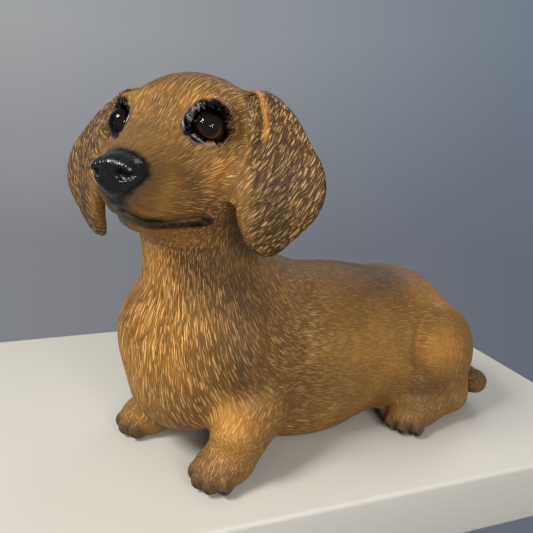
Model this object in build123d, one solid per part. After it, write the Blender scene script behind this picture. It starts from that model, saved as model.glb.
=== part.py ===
from build123d import *
from math import asin, cos, degrees, radians, sin, sqrt
import os

# A resting dachshund figurine, cast hollow and luted together from separately moulded pieces.
# The dog looks along -Y, its own left side is +X, and it lies on Z = 0 with the vent in its
# belly at the origin. All lengths are in millimetres and all angles in degrees.

# ---- casting and joints ----
WALL = 4.5                  # cast wall of the torso and the head
VENT_R = 5.0                # open vent in the belly
PEG_R = 2.6                 # locating pegs of the legs, ears and tail
PEG_LENGTH = 3.0            # how far a peg enters the wall it stands on
PEG_CLEARANCE = 0.15        # radial and end clearance of every peg
SPIGOT_R = 11.0             # hollow spigot under the head, which enters the neck
SPIGOT_WALL = 3.0
SPIGOT_LENGTH = 12.0

# ---- torso: sections across the spine, from the rump to the breast ----
# station along Y, centre X, centre Z, half width, half height
TRUNK_SECTIONS = [
    (78.5, -0.5, 31.0, 5.0, 5.0),
    (75.0, -0.5, 31.0, 14.5, 15.0),
    (69.0, -0.5, 31.0, 22.5, 22.5),
    (59.0, 0.0, 31.0, 28.5, 28.5),
    (42.0, 0.0, 31.0, 30.0, 31.0),
    (22.0, -1.0, 30.8, 28.5, 32.2),
    (4.0, -1.5, 32.8, 28.5, 34.7),
    (-12.0, -2.0, 36.0, 30.0, 37.5),
    (-27.0, -2.0, 40.0, 32.5, 34.0),
    (-40.0, -2.5, 40.0, 32.5, 32.0),
    (-51.0, -3.5, 38.5, 28.0, 28.5),
    (-59.0, -4.5, 37.0, 20.0, 22.5),
    (-64.5, -4.5, 35.0, 9.0, 11.0),
]
CHEST_CENTRE = (-2.0, -36.0, 42.0)
CHEST_TURN = 18.0           # the chest is turned to the dog's left

# ---- neck ----
NECK_BASE = (-2.5, -35.0, 58.0)
NECK_BASE_R = 21.0
NECK_TOP = (-3.5, -42.5, 96.0)
NECK_TOP_R = 19.0
NECK_SEAT_Z = 82.0          # level at which the head stands on the neck

# ---- head, in its own frame: -Y along the muzzle, +X to the dog's left ----
HEAD_CENTRE = (3.0, -46.0, 114.0)
HEAD_TURN = 40.0
HEAD_LIFT = 6.0
SKULL_CENTRE = (0.0, 5.5, 1.5)
SKULL_RADII = (27.5, 26.0, 24.0)
MUZZLE_ROOT = (0.0, -8.0, -8.0)
MUZZLE_ROOT_R = 17.0
MUZZLE_TIP = (0.0, -29.0, -11.0)
MUZZLE_TIP_R = 11.0
BRIDGE_ROOT = (0.0, -3.0, 1.0)
BRIDGE_ROOT_R = 12.5
BRIDGE_TIP_RISE = 6.0       # the bridge's end above the muzzle's tip
BRIDGE_TIP_BACK = 3.0       # and behind it
BRIDGE_TIP_R = 7.5
JAW_ROOT = (0.0, 0.0, -16.0)
JAW_ROOT_R = 14.5
JAW_DROP = 7.5              # chin below the muzzle's tip
JAW_SHORTFALL = 6.0         # chin behind the muzzle's tip
JAW_TIP_R = 8.5
NOSE_RADII = (7.8, 6.0, 6.6)
NOSE_RISE = 2.0             # nose above the muzzle's tip
NOSE_SINK = 2.5             # how far the nose's middle lies inside the muzzle

# ---- eyes ----
EYE_R = 5.6                 # glass cabochon
EYE_BEARING = 39.0          # to each side of the muzzle
EYE_RISE = 10.0
EYE_PROUD = 2.5             # how far the orbit stands out of the skull
ORBIT_R = 9.0
EYE_SEAT = 3.2              # depth of the socket's floor under the skull's surface
EYE_FLOOR = 2.0             # ceramic left behind the socket
IRIS_THICKNESS = 0.8
LENS_BAND = 2.0             # straight side of the cabochon under its dome
LENS_DOME = 3.6
EYE_CLEARANCE = 0.1

# ---- ears, in their own frame: +X outwards, +Y to the ear's rear edge, -Z down ----
EAR_ROOT = (24.0, 4.0, 12.5)
EAR_SWING = 54.0            # rear edge swung away from the cheek
EAR_FLARE = 5.0
EAR_THICKNESS = 5.0
EAR_STAND_OFF = 3.0         # how far the leather's top stands out of its root
EAR_BULGE = 9.5            # how much further it stands out lower down
EAR_BULGE_DROP = 23.0       # how far below its root it stands out most
EAR_ROOT_BOSS = (8.0, 8.0, 6.0)
EAR_BOSS_INSET = 3.0
# outline circles: towards the rear edge, down, radius
EAR_CIRCLES = [(4.0, 4.0, 8.5), (6.5, 23.5, 13.0), (1.5, 37.0, 9.0)]

# ---- forelegs: shoulder in the chest's frame, paw in the model's ----
SHOULDER_X = 25.0
SHOULDER_Y = 2.0
SHOULDER_DROP = 20.0
SHOULDER_R = 13.5
WRIST_R = 9.3
PAW_RADII = (10.0, 11.5, 7.5)
PAW_SINK = 1.0              # cut off under the paw, so that it stands flat
# paw X and Y, wrist X, Y and Z, and the paw's turn
FORELEGS = {
    "left": (29.5, -43.0, 29.0, -36.5, 14.5, 25.0),
    "right": (-16.0, -56.0, -18.0, -44.5, 13.0, 0.0),
}

# ---- hind legs ----
THIGH_X = 22.0
THIGH_Y = 56.0
THIGH_Z = 29.0
THIGH_RADII = (13.0, 22.0, 26.0)
HOCK_X = 26.0
HOCK_Y = 64.0
HOCK_R = 9.0
HOCK_LIFT = 2.0             # the hock's underside above the ground
FOOT_X = 27.0
FOOT_Y = 46.0
FOOT_RADII = (9.5, 14.0, 7.5)
FOOT_TURN = 12.0

# ---- tail ----
TAIL_ROOT = (4.0, 75.0, 12.0)
TAIL_ROOT_R = 8.0
TAIL_BEND = (16.0, 84.0, 8.5)
TAIL_BEND_R = 6.0
TAIL_TIP = (26.0, 82.0, 8.0)
TAIL_TIP_R = 5.0
TAIL_AIM = (0.0, 59.0, 31.0)   # its peg points at the middle of the rump

BIG = 400.0                 # larger than the figurine, for cutting planes
THROUGH = 6.0               # how far a cut runs past the wall it opens


def ellipsoid(centre, radii, turn=0.0):
    """An ellipsoid with its axes along X, Y and Z, turned about Z."""
    return Pos(*centre) * Rot(Z=turn) * scale(Sphere(1.0), by=radii)


def limb(start, end, start_r, end_r):
    """Two balls and the cone that touches both."""
    run = Vector(*end) - Vector(*start)
    lean = asin((start_r - end_r) / run.length)
    low = (start_r * cos(lean), start_r * sin(lean))
    high = (end_r * cos(lean), run.length + end_r * sin(lean))
    lower_mid = radians(-90 + (degrees(lean) + 90) / 2)
    upper_mid = radians(90 - (90 - degrees(lean)) / 2)
    lower_arc = ThreePointArc((0, -start_r), (start_r * cos(lower_mid), start_r * sin(lower_mid)), low)
    side = Line(low, high)
    upper_point = (end_r * cos(upper_mid), run.length + end_r * sin(upper_mid))
    upper_arc = ThreePointArc(high, upper_point, (0, run.length + end_r))
    axis_line = Line((0, run.length + end_r), (0, -start_r))
    half = Rot(X=90) * make_face([lower_arc, side, upper_arc, axis_line])
    return Plane(origin=start, z_dir=run) * revolve(half, Axis.Z)


def above(level):
    """All space above a level."""
    return Pos(0, 0, level) * Box(BIG, BIG, BIG, align=(Align.CENTER, Align.CENTER, Align.MIN))


def rod(start, direction, radius, length):
    """A round bar from a point along a direction."""
    place = Plane(origin=start, z_dir=direction)
    return place * Cylinder(radius, length, align=(Align.CENTER, Align.CENTER, Align.MIN))


def peg_and_socket(skin, outside, inside):
    """A peg that enters a skin on the way from an outside point to an inside one, and its hole."""
    direction = (Vector(*inside) - Vector(*outside)).normalized()
    crossings = skin.find_intersection_points(Axis(outside, direction))
    reach = min((point - Vector(*outside)).dot(direction) for point, normal in crossings
                if (point - Vector(*outside)).dot(direction) > 0)
    peg = rod(outside, direction, PEG_R, reach + PEG_LENGTH)
    socket = rod(outside, direction, PEG_R + PEG_CLEARANCE, reach + PEG_LENGTH + PEG_CLEARANCE)
    return peg, socket


def trunk(inset=0.0):
    """The trunk's skin, or its cavity when it is drawn in by a wall."""
    faces = []
    last = len(TRUNK_SECTIONS) - 1
    for index, (along, x, z, half_width, half_height) in enumerate(TRUNK_SECTIONS):
        if inset and index in (0, last):
            continue
        plane = Plane(origin=(x, along, z), x_dir=(1, 0, 0), z_dir=(0, 1, 0))
        faces.append(plane * Ellipse(half_width - inset, half_height - inset))
    return loft(faces)


def inset_radii(radii):
    """An ellipsoid's radii, drawn in by the wall."""
    return tuple(radius - WALL for radius in radii)


def skull_surface(direction):
    """The point of the skull that lies in a direction from its centre, in the head's frame."""
    reach = 1.0 / sqrt(sum((part / radius) ** 2 for part, radius in zip(direction, SKULL_RADII)))
    return Vector(*SKULL_CENTRE) + Vector(*direction) * reach


CHEST = Pos(*CHEST_CENTRE) * Rot(Z=CHEST_TURN)
HEAD = Pos(*HEAD_CENTRE) * Rot(Z=HEAD_TURN) * Rot(X=-HEAD_LIFT)
SIDES = {"left": 1, "right": -1}


def in_head(point):
    """A point of the head's frame, in the model's frame."""
    return tuple((HEAD * Pos(*point)).position)


def torso_skin():
    """The outside of the torso and the neck, cut flat underneath."""
    neck = limb(NECK_BASE, NECK_TOP, NECK_BASE_R, NECK_TOP_R) - above(NECK_SEAT_Z)
    return (trunk() + neck) & above(0)


def neck_axis():
    """Where the neck's middle lies at the level of the head's seat."""
    share = (NECK_SEAT_Z - NECK_BASE[2]) / (NECK_TOP[2] - NECK_BASE[2])
    x = NECK_BASE[0] + share * (NECK_TOP[0] - NECK_BASE[0])
    y = NECK_BASE[1] + share * (NECK_TOP[1] - NECK_BASE[1])
    return x, y


def eye_axis(side):
    """The middle of an orbit's rim, in the head's own frame, and the way the eye looks."""
    bearing = radians(EYE_BEARING)
    rise = radians(EYE_RISE)
    direction = Vector(side * sin(bearing) * cos(rise), -cos(bearing) * cos(rise), sin(rise))
    return skull_surface(direction) + direction * EYE_PROUD, direction


def head_skin(torso):
    """The outside of the skull, muzzle, jaw and nape, down to the seat on the neck."""
    nape = limb(NECK_BASE, NECK_TOP, NECK_BASE_R, NECK_TOP_R)
    jaw_tip = (0, MUZZLE_TIP[1] + JAW_SHORTFALL, MUZZLE_TIP[2] - JAW_DROP)
    skull = ellipsoid(SKULL_CENTRE, SKULL_RADII)
    for side in SIDES.values():
        rim, direction = eye_axis(side)
        skull += Pos(rim - direction * ORBIT_R) * Sphere(ORBIT_R)
    muzzle = limb(MUZZLE_ROOT, MUZZLE_TIP, MUZZLE_ROOT_R, MUZZLE_TIP_R)
    bridge_tip = (0, MUZZLE_TIP[1] + BRIDGE_TIP_BACK, MUZZLE_TIP[2] + BRIDGE_TIP_RISE)
    bridge = limb(BRIDGE_ROOT, bridge_tip, BRIDGE_ROOT_R, BRIDGE_TIP_R)
    jaw = limb(JAW_ROOT, jaw_tip, JAW_ROOT_R, JAW_TIP_R)
    return ((HEAD * (skull + muzzle + bridge + jaw) + nape) & above(NECK_SEAT_Z)) - torso


def torso_casting(skin, sockets):
    """The hollow torso with its neck, belly vent and the holes for the other pieces' pegs."""
    x, y = neck_axis()
    neck_bore = rod((x, y, CHEST_CENTRE[2]), (0, 0, 1), SPIGOT_R + PEG_CLEARANCE, BIG)
    cavity = trunk(WALL) & above(WALL)
    vent = rod((0, 0, -THROUGH), (0, 0, 1), VENT_R, WALL + 2 * THROUGH)
    casting = skin - cavity - neck_bore - vent
    for socket in sockets:
        casting -= socket
    return casting


def eye_pieces(side):
    """The iris disc and the cabochon over it, with their socket and the boss behind it."""
    rim, direction = eye_axis(side)
    place = HEAD * Plane(origin=rim - direction * EYE_SEAT, z_dir=direction).location
    upright = (Align.CENTER, Align.CENTER, Align.MIN)
    iris = place * Cylinder(EYE_R, IRIS_THICKNESS, align=upright)
    height = LENS_BAND + LENS_DOME
    dome_r = (EYE_R ** 2 + LENS_DOME ** 2) / (2 * LENS_DOME)
    lens = Cylinder(EYE_R, height, align=upright) & Pos(0, 0, height - dome_r) * Sphere(dome_r)
    lens = place * Pos(0, 0, IRIS_THICKNESS) * lens
    socket = place * Cylinder(EYE_R + EYE_CLEARANCE, EYE_SEAT + THROUGH, align=upright)
    boss = place * Pos(0, 0, -EYE_FLOOR) * Cylinder(EYE_R + EYE_FLOOR, EYE_FLOOR + EYE_SEAT, align=upright)
    return iris, lens, socket, boss


def head_casting(skin, sockets, eye_bosses):
    """The hollow head with its spigot, eye sockets and the holes for the ears and the nose."""
    x, y = neck_axis()
    cavity = HEAD * ellipsoid(SKULL_CENTRE, inset_radii(SKULL_RADII))
    for boss in eye_bosses:
        cavity -= boss
    spigot = rod((x, y, NECK_SEAT_Z - SPIGOT_LENGTH), (0, 0, 1), SPIGOT_R, SPIGOT_LENGTH + WALL)
    throat = rod((x, y, NECK_SEAT_Z - SPIGOT_LENGTH - THROUGH), (0, 0, 1), SPIGOT_R - SPIGOT_WALL,
                 HEAD_CENTRE[2] - NECK_SEAT_Z + SPIGOT_LENGTH + THROUGH)
    casting = (skin + spigot) - cavity - throat
    for socket in sockets:
        casting -= socket
    return casting


def ear_shape(side):
    """A hanging ear leather, curved away from the cheek, with the fold it grows from."""
    outline = make_hull([edge for back, down, radius in EAR_CIRCLES
                         for edge in (Pos(back, -down) * Circle(radius)).edges()])
    sheet = Plane.YZ * outline
    slab = extrude(sheet, amount=BIG / 4, both=True)
    # the curve starts at the stand-off, level with the root, and stands out most at the bulge's drop
    curve_r = (EAR_BULGE_DROP ** 2 + EAR_BULGE ** 2) / (2 * EAR_BULGE)
    axis_x = EAR_STAND_OFF + EAR_BULGE - curve_r
    axis_place = Pos(axis_x, 0, -EAR_BULGE_DROP) * Rot(X=90)
    curved = Cylinder(curve_r + EAR_THICKNESS / 2, BIG) - Cylinder(curve_r - EAR_THICKNESS / 2, BIG)
    leather = slab & (axis_place * curved)
    outer_half = Pos(axis_x, 0, 0) * Box(BIG, BIG, BIG, align=(Align.MIN, Align.CENTER, Align.CENTER))
    leather &= outer_half
    fold = ellipsoid((-EAR_BOSS_INSET, 0, 0), EAR_ROOT_BOSS)
    left = Pos(*EAR_ROOT) * Rot(Z=-EAR_SWING) * Rot(Y=-EAR_FLARE) * (leather + fold)
    return HEAD * (left if side > 0 else mirror(left, about=Plane.YZ))


def ear_pieces(side, skin):
    """An ear with its peg, and the peg's hole in the head."""
    outside = in_head((side * (EAR_ROOT[0] + EAR_STAND_OFF), EAR_ROOT[1], EAR_ROOT[2]))
    peg, socket = peg_and_socket(skin, outside, in_head(SKULL_CENTRE))
    return (ear_shape(side) - skin) + peg, socket


def nose_pieces(skin):
    """The glazed nose with its peg, and the peg's hole in the muzzle."""
    centre = (0, MUZZLE_TIP[1] - MUZZLE_TIP_R + NOSE_SINK, MUZZLE_TIP[2] + NOSE_RISE)
    ball = HEAD * ellipsoid(centre, NOSE_RADII)
    outside = in_head((0, centre[1] - NOSE_SINK, centre[2]))
    peg, socket = peg_and_socket(skin, outside, in_head((0, MUZZLE_ROOT[1], centre[2])))
    return (ball - skin) + peg, socket


def foreleg_pieces(name, skin):
    """A foreleg with its paw and peg, and the peg's hole in the chest."""
    side = SIDES[name]
    paw_x, paw_y, wrist_x, wrist_y, wrist_z, paw_turn = FORELEGS[name]
    shoulder = tuple((CHEST * Pos(side * SHOULDER_X, SHOULDER_Y, -SHOULDER_DROP)).position)
    wrist = (wrist_x, wrist_y, wrist_z)
    paw_centre = (paw_x, paw_y, PAW_RADII[2] - PAW_SINK)
    leg = limb(shoulder, wrist, SHOULDER_R, WRIST_R)
    pastern = limb(wrist, paw_centre, WRIST_R, PAW_RADII[2])
    paw = ellipsoid(paw_centre, PAW_RADII, paw_turn)
    peg, socket = peg_and_socket(skin, wrist, shoulder)
    return ((leg + pastern + paw) & above(0)) - skin + peg, socket


def hind_leg_pieces(name, skin):
    """A folded hind leg with its foot and peg, and the peg's hole in the rump."""
    side = SIDES[name]
    thigh = ellipsoid((side * THIGH_X, THIGH_Y, THIGH_Z), THIGH_RADII)
    hock = (side * HOCK_X, HOCK_Y, HOCK_R + HOCK_LIFT)
    foot_centre = (side * FOOT_X, FOOT_Y, FOOT_RADII[2] - PAW_SINK)
    pastern = limb(hock, foot_centre, HOCK_R, FOOT_RADII[2])
    foot = ellipsoid(foot_centre, FOOT_RADII, side * FOOT_TURN)
    outside = (side * (THIGH_X + THIGH_RADII[0] - PEG_R), THIGH_Y, THIGH_Z)
    peg, socket = peg_and_socket(skin, outside, (0, THIGH_Y, THIGH_Z))
    return ((thigh + pastern + foot) & above(0)) - skin + peg, socket


def tail_pieces(skin, neighbour):
    """The curled tail with its peg, and the peg's hole in the rump."""
    tail = limb(TAIL_ROOT, TAIL_BEND, TAIL_ROOT_R, TAIL_BEND_R)
    tail += limb(TAIL_BEND, TAIL_TIP, TAIL_BEND_R, TAIL_TIP_R)
    peg, socket = peg_and_socket(skin, TAIL_ROOT, TAIL_AIM)
    return (tail & above(0)) - skin - neighbour + peg, socket


def build():
    """Every piece of the figurine, by its name."""
    pieces = {}
    torso = torso_skin()
    head = head_skin(torso)
    torso_sockets = []
    head_sockets = []
    eye_bosses = []
    for name, side in SIDES.items():
        pieces["foreleg_" + name], socket = foreleg_pieces(name, torso)
        torso_sockets.append(socket)
        pieces["hind_leg_" + name], socket = hind_leg_pieces(name, torso)
        torso_sockets.append(socket)
        pieces["ear_" + name], socket = ear_pieces(side, head)
        head_sockets.append(socket)
        iris, lens, socket, boss = eye_pieces(side)
        pieces["eye_iris_" + name] = iris
        pieces["eye_lens_" + name] = lens
        head_sockets.append(socket)
        eye_bosses.append(boss)
    pieces["tail"], socket = tail_pieces(torso, pieces["hind_leg_left"])
    torso_sockets.append(socket)
    pieces["nose"], socket = nose_pieces(head)
    head_sockets.append(socket)
    pieces["torso"] = torso_casting(torso, torso_sockets)
    pieces["head"] = head_casting(head, head_sockets, eye_bosses)
    return pieces


os.makedirs("parts", exist_ok=True)
for node, piece in build().items():
    export_step(piece, os.path.join("parts", node + ".step"))
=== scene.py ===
"""A lying short-haired dog figurine, modelled in clay lumps, cast, engraved with hair and painted.

Sizes in the clay code are millimetres; meshes are written in metres.
"""

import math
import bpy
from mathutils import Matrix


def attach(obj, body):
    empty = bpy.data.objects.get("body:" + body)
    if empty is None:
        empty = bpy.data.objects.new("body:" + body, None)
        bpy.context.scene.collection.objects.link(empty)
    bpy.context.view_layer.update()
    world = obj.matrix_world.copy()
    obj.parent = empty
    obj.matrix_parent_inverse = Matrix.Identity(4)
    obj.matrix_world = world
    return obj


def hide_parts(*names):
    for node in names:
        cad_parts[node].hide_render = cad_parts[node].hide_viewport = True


bl_info = {
    "name": "Dog Figurine",
    "version": (1, 0, 0),
    "blender": (4, 5, 0),
    "location": "View3D > Sidebar > Figurine",
    "description": "Models and paints a lying short-haired dog figurine piece by piece",
    "category": "Add Mesh",
}

from concurrent.futures import ThreadPoolExecutor

import bmesh
import bpy
import numpy as np
from mathutils import Matrix, Vector

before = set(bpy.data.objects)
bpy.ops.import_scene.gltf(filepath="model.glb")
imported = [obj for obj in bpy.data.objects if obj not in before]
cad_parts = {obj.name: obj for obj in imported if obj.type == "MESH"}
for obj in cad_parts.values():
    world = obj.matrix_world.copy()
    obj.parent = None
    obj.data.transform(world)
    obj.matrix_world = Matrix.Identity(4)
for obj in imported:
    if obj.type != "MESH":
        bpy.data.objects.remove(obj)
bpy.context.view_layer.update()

MM = 0.001
# The clay, in millimetres
BALLS_PER_RADIUS = 2.5      # how closely balls follow each other along a limb's blank
BLANK_SPARE = 0.4           # how far a limb's blank stands out of its clay
ROUGH_CELL = 1.6            # the first cast's cells
NEAR_PIECE = 12.0           # a piece's clay is worked out up to this far from the ball around it
NECK_SEAT = 82.0            # height at which the head meets the neck
SEAM_PUSH = 0.25            # the furthest that a seam point slides in one round
LENS_FLAT = 1.7             # how far the lens's flat back lies in front of the eye's middle
IRIS_R = 5.0
SHARP_EYE = math.radians(35)
# The stage, in metres
SHARP_BOARD = math.radians(40)
BOARD_SIZE = (0.182, 0.300, 0.024)
BOARD_PLACE = (-0.033, -0.015, -0.0121)
BOARD_TURN = math.radians(-8.0)
CAMERA_PLACE = (0.20642, -0.12133, 0.1320)
CAMERA_HEADING = math.radians(62)
CAMERA_TILT = math.radians(15.3)
CAMERA_ROLL = math.radians(1.7)
LAMP_AIM = (0.0, -0.02, 0.07)


# ---------------------------------------------------------------- clay arithmetic

def turn(x=0.0, y=0.0, z=0.0):
    """A 3 x 3 turn by degrees about X, then Y, then Z."""
    spin = (Matrix.Rotation(math.radians(z), 3, "Z") @ Matrix.Rotation(math.radians(y), 3, "Y")
            @ Matrix.Rotation(math.radians(x), 3, "X"))
    return np.array(spin, np.float32)


def vec(*parts):
    return np.array(parts, np.float32)


def unit(v):
    return v / np.linalg.norm(v)


def folded(points):
    """The same points with both halves laid over each other."""
    return np.stack([np.abs(points[:, 0]), points[:, 1], points[:, 2]], -1)


def fuse(a, b, soft):
    """Two clay distances joined, with a fillet of about the soft size."""
    if soft <= 0:
        return np.minimum(a, b)
    meet = np.maximum(soft - np.abs(a - b), 0) / soft
    return np.minimum(a, b) - meet * meet * soft * 0.25


def carve(a, b, soft):
    """Clay a with clay b taken away, and the edge between them softened."""
    return -fuse(-a, b, soft)


def smooth_step(low, high, value):
    t = np.clip((value - low) / (high - low), 0, 1)
    return t * t * (3 - 2 * t)


def spot(points, centre, radii):
    """A soft airbrushed spot, 1 in its middle and near 0 at twice its radii."""
    return np.exp(-(((points - vec(*centre)) / vec(*radii)) ** 2).sum(-1))


def lattice_noise(points, seed=0):
    """Smooth value noise between -1 and 1, one cell to a unit, the same on every run."""
    cell = np.floor(points).astype(np.int64)
    part = (points - cell).astype(np.float32)
    part = part * part * (3 - 2 * part)
    total = np.zeros(len(points), np.float32)
    for corner in range(8):
        step = np.array([corner & 1, corner >> 1 & 1, corner >> 2 & 1])
        key = (cell + step) @ np.array([73856093, 19349663, 83492791]) + seed * 2654435761
        key = (key ^ (key >> 13)) * 1274126177 & 0x7FFFFFFF
        key = (key ^ (key >> 16)) * 668265263 & 0x7FFFFFFF
        value = (key % 20011).astype(np.float32) / 10005.0 - 1
        weight = np.where(step, part, 1 - part).prod(-1)
        total += value * weight
    return total


class Oval:
    """An ellipsoid of clay."""

    def __init__(self, centre, radii, axes=None, soft=10.0):
        self.centre, self.radii, self.axes, self.soft = vec(*centre), vec(*radii), axes, soft

    def distance(self, points):
        local = points - self.centre
        if self.axes is not None:
            local = local @ self.axes
        near = np.sqrt(((local / self.radii) ** 2).sum(-1))
        slope = np.sqrt(((local / self.radii ** 2) ** 2).sum(-1)) + 1e-9
        return near * (near - 1) / slope

    def blank(self, bm, place):
        """The lump itself, as a ball scaled and turned to its place."""
        size = Matrix.Diagonal((*(float(r) for r in self.radii), 1))
        axes = Matrix(self.axes.tolist()).to_4x4() if self.axes is not None else Matrix()
        matrix = place @ Matrix.Translation(self.centre.tolist()) @ axes @ size
        bmesh.ops.create_icosphere(bm, subdivisions=3, radius=1, matrix=matrix)


class Limb:
    """A round cone of clay between two balls."""

    def __init__(self, start, end, start_r, end_r, soft=10.0):
        self.start, self.end, self.soft = vec(*start), vec(*end), soft
        self.start_r, self.end_r = start_r, end_r

    def distance(self, points):
        axis = self.end - self.start
        square = float(axis @ axis)
        fall = self.start_r - self.end_r
        slant = square - fall * fall
        local = points - self.start
        along = local @ axis
        beyond = along - square
        off = ((local * square - axis * along[:, None]) ** 2).sum(-1)
        side = np.sign(fall) * fall * fall * off
        reach = (np.sqrt(off * slant / square) + along * fall) / square - self.start_r
        at_end = np.sqrt(off + beyond * beyond * square) / square - self.end_r
        at_start = np.sqrt(off + along * along * square) / square - self.start_r
        reach = np.where(np.sign(along) * slant * along * along * square < side, at_start, reach)
        return np.where(np.sign(beyond) * slant * beyond * beyond * square > side, at_end, reach)

    def blank(self, bm, place):
        """A close row of balls, a little fat, from one end to the other."""
        length = float(np.linalg.norm(self.end - self.start))
        steps = math.ceil(BALLS_PER_RADIUS * length / min(self.start_r, self.end_r))
        for step in range(steps + 1):
            share = step / steps
            centre = self.start * (1 - share) + self.end * share
            radius = self.start_r * (1 - share) + self.end_r * share + BLANK_SPARE
            bmesh.ops.create_icosphere(bm, subdivisions=3, radius=radius,
                                       matrix=place @ Matrix.Translation(centre.tolist()))


class Rim:
    """A rounded band bent into an oval ring, such as an eyelid."""

    def __init__(self, centre, axes, wide, high, thick, soft):
        self.centre, self.axes, self.soft = vec(*centre), axes, soft
        self.wide, self.high, self.thick = wide, high, thick

    def distance(self, points):
        local = (points - self.centre) @ self.axes
        flat = np.sqrt((local[:, 0] / self.wide) ** 2 + (local[:, 1] / self.high) ** 2)
        size = 0.5 * (self.wide + self.high)
        return np.sqrt(((flat - 1) * size) ** 2 + local[:, 2] ** 2) - self.thick


def lump_all(lumps, points):
    """The joined distance of a list of lumps, each fused with its own softness."""
    total = lumps[0].distance(points)
    for lump in lumps[1:]:
        total = fuse(total, lump.distance(points), lump.soft)
    return total


# ---------------------------------------------------------------- the figure in clay

CHEST_AXES = turn(z=18)
CHEST = vec(-2, -36, 42)
HEAD = vec(3, -46, 114)
HEAD_AXES = turn(z=40) @ turn(x=-6)


def on_chest(*point):
    return CHEST + CHEST_AXES @ vec(*point)


def on_head(*point):
    return HEAD + HEAD_AXES @ vec(*point)


def head_frame(points):
    return (points - HEAD) @ HEAD_AXES


TRUNK = [
    Oval((0, 50, 31), (30, 29, 30), turn(z=-12)),
    Limb((0, 36, 31.5), (-2, -6, 38.5), 29.4, 30.8),
    Oval((-1, 18, 36), (24, 32, 28.8), soft=8),
    Oval((-1, 5, 13), (23, 32, 19)),
    Oval(CHEST, (34, 28, 30), CHEST_AXES),
    Oval(on_chest(0, 16, 10), (25, 22, 22), CHEST_AXES),
    Limb((-2.5, -35, 58), (-3.5, -42.5, 96), 21, 19, soft=14),
    Oval(on_chest(-3, -8, -16), (22, 20, 18)),
    Oval(on_chest(-9, -14, 3), (19, 15, 17), soft=8),
]

# name: (shoulder on the chest, wrist, ankle, paw, paw radii, heading in degrees)
FORELEGS = {
    "foreleg_left": ((25, 2, -20), (29, -36, 16), (29, -38, 9), (30, -43, 6.5), (9.6, 10.5, 7), 24),
    "foreleg_right": ((-24, 2, -20), (-18, -44, 13), (-16, -54, 8), (-16, -56, 6.5), (9.2, 10.5, 7), -4),
}
HIND_LEGS = {"hind_leg_left": 1, "hind_leg_right": -1}
SIDES = {"left": 1, "right": -1}
EYE_BALL = vec(15.6, -12.8, 6.5)
EYE_LOOK = unit(vec(0.56, -0.82, 0.10))
EYE_R = 5.3
NOSE = vec(0, -37.5, -9)
EAR_ROOT = vec(24.0, 4.0, 12.5)
EAR_SWING = 54.0
EAR_FLARE = 5.0
EAR_CURL_R = 42.0
EAR_CURL_DROP = 25.0
EAR_STAND = 12.5
EAR_HALF = 2.4
# (back, down, back radius, down radius, soft)
EAR_OUTLINE = [(6.5, 23.5, 12.5, 16, 0), (4, 4, 8, 9, 10), (1, 35.5, 8.5, 11, 6), (-1.5, 29.5, 8.0, 10, 4)]
MOUTH = [(0, -37.2, -19.4), (2.4, -35.6, -20.2), (4.8, -31.2, -22.2), (8.4, -23.8, -22.8),
         (11, -16.8, -22.2), (13.8, -12.2, -21.4), (15.0, -8.4, -23.0)]


def sided(point, side):
    return vec(point[0] * side, point[1], point[2])


def paw_lumps(paw, radii, heading, toe_reach, height):
    """A paw with four toes fanned about its heading."""
    axes = turn(z=heading)
    lumps = [Oval(paw, radii, axes, soft=4)]
    for step in (-1.5, -0.5, 0.5, 1.5):
        lean = axes @ turn(z=step * 17)
        reach = toe_reach - 0.45 * step * step
        centre = vec(paw[0], paw[1], height) + lean @ vec(step * 2.4, -reach, 0)
        lumps.append(Oval(centre, (2.75, 5.2, height - 0.1), lean, soft=0.6))
    return lumps


def claw_places(paw, heading, toe_reach):
    """Where the claws sit, with the way each points."""
    axes = turn(z=heading)
    for step in (-1.5, -0.5, 0.5, 1.5):
        lean = axes @ turn(z=step * 17)
        reach = toe_reach - 0.45 * step * step + 4.9
        yield vec(paw[0], paw[1], 2.4) + lean @ vec(step * 2.4, -reach, 0), lean


def foreleg_lumps(name):
    shoulder, wrist, ankle, paw, radii, heading = FORELEGS[name]
    lumps = [Limb(on_chest(*shoulder), wrist, 13.5, 9.3),
             Limb(wrist, ankle, 9.2, 8.2, soft=4)]
    return lumps + paw_lumps(paw, radii, heading, 7.0, 4.6)


def hind_lumps(name):
    side = HIND_LEGS[name]
    lumps = [Oval((side * 22, 56, 28), (13.8, 21, 23.5)),
             Limb((side * 26, 64, 11), (side * 26, 50, 9), 9, 8, soft=6)]
    return lumps + paw_lumps((side * 27, 46, 7), (9.2, 13, 7.3), side * 12, 9.0, 4.4)


LEG_LUMPS = {name: foreleg_lumps(name) for name in FORELEGS}
LEG_LUMPS.update({name: hind_lumps(name) for name in HIND_LEGS})
TAIL = [Limb((4, 74, 13), (16, 83, 10), 8.0, 6.4), Limb((16, 83, 10), (25.5, 81, 12.5), 6.2, 5.2, soft=2)]
SKULL = [
    Oval((0, 5.5, 1.5), (27.5, 26, 24)),
    Limb((0, -3, 1), (0, -26, -5), 12.5, 7.5, soft=6),
    Limb((0, -8, -8), (0, -29, -11), 17, 11, soft=8),
    Limb((0, 0, -16), (0, -23, -18.5), 14.5, 8.5, soft=6),
    Oval((11, -3, -9), (12, 13, 13), soft=8),
    Oval((-11, -3, -9), (12, 13, 13), soft=8),
]


def eye_axes(side):
    """Columns: across, up and out of the eye, in the head's frame."""
    out = sided(EYE_LOOK, side)
    up = unit(vec(0, 0, 1) - out * out[2])
    return np.stack([np.cross(up, out), up, out], axis=1).astype(np.float32)


def chain(points, radii, soft):
    return [Limb(a, b, ra, rb, soft) for a, b, ra, rb in zip(points, points[1:], radii, radii[1:])]


def fold_line(*points):
    """A line without thickness, along which the clay is pressed in."""
    return chain(points, (0,) * len(points), 0)


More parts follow.
